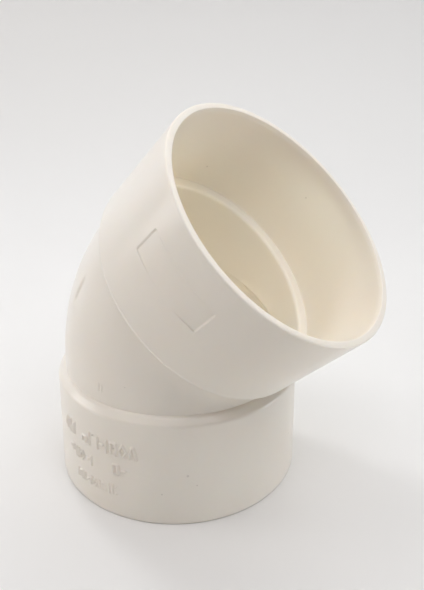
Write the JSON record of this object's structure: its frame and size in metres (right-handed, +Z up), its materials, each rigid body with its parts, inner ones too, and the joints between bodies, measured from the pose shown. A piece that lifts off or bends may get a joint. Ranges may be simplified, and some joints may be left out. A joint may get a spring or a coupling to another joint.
{
  "type": "45 degree pvc pipe elbow",
  "caption": "Short 45 degree elbow moulded in warm off-white PVC-U, with plain solvent-weld sockets at both ends and pipe stops inside.",
  "frame": {"origin": "centre of the bottom of the bounding box; the part stands on its lower mouth, whose face is Z = 0 and whose axis is the vertical line X = -15.13 mm, Y = 0", "axes": "+Z up along the lower socket's axis; the upper socket leans 45 degrees from +Z toward +X in the XZ plane, which is the part's mirror plane; +Y completes the right-handed frame and the moulded marks are on the -Y side"},
  "size_m": [0.1252, 0.095, 0.1405],
  "materials": {
    "pvc": "moulded rigid PVC, satin gloss, warm off-white"
  },
  "bodies": {
    "root": {"elbow_body": "pvc"}
  },
  "joints": []
}
